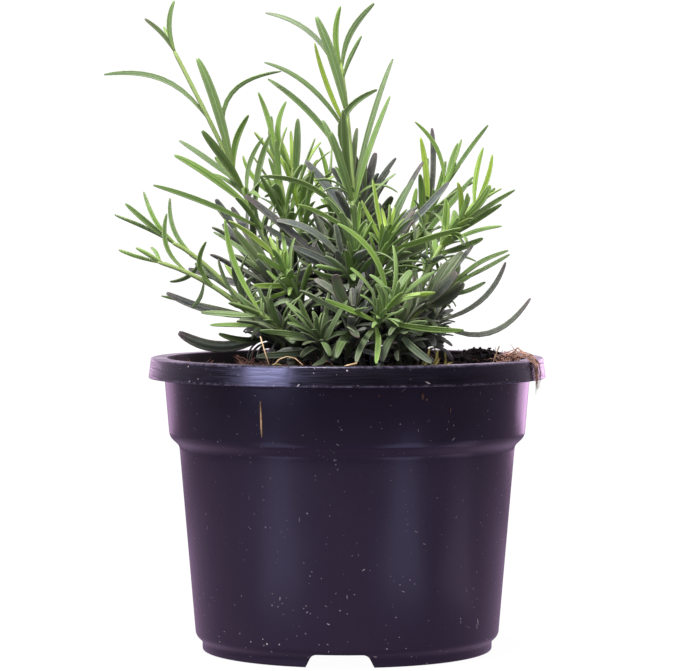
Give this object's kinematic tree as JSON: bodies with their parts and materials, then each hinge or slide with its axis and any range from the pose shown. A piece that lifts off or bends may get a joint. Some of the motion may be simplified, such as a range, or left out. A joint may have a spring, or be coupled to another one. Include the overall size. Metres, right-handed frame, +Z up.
{
  "type": "potted lavender",
  "caption": "Young lavender plant with narrow grey-green leaves in a round dark plastic nursery pot filled with peat.",
  "frame": {"origin": "on the pot's axis, in the plane its foot ring rests on", "axes": "+Z up. The side facing the picture's camera is at 45 degrees, between +X and -Y, so that the leaves stay inside the box of the pot's rim."},
  "size_m": [0.1296, 0.1296, 0.212],
  "materials": {
    "pot": "satin",
    "soil": "matte",
    "young_leaf": "satin",
    "old_leaf": "satin"
  },
  "bodies": {
    "root": {"pot": "pot", "soil": "soil", "shoot_tall_left": "young_leaf", "shoot_tall_centre": "young_leaf", "shoot_dark_centre": "old_leaf", "shoot_left_upright": "young_leaf", "shoot_left_inner": "young_leaf", "shoot_long_left_upper": "young_leaf", "shoot_long_left_lower": "young_leaf", "shoot_left_front": "young_leaf", "shoot_left_olive": "old_leaf", "shoot_left_grey": "old_leaf", "shoot_low_left": "old_leaf", "shoot_front_left": "young_leaf", "shoot_lime_left": "young_leaf", "shoot_front_purple": "old_leaf", "shoot_front_centre": "young_leaf", "shoot_centre_green": "young_leaf", "shoot_front_right": "young_leaf", "shoot_right_front": "old_leaf", "shoot_right_bright": "young_leaf", "shoot_right_grey": "old_leaf", "shoot_right_light": "young_leaf", "shoot_right_brown": "old_leaf", "shoot_right_low": "young_leaf", "shoot_right_dark": "old_leaf", "shoot_back_left": "old_leaf", "shoot_back_low_left": "young_leaf", "shoot_back_centre": "young_leaf", "shoot_back_low": "old_leaf", "shoot_back_upright": "old_leaf", "shoot_back_right": "young_leaf", "shoot_back_low_right": "old_leaf", "shoot_back_inner": "old_leaf"}
  },
  "joints": []
}
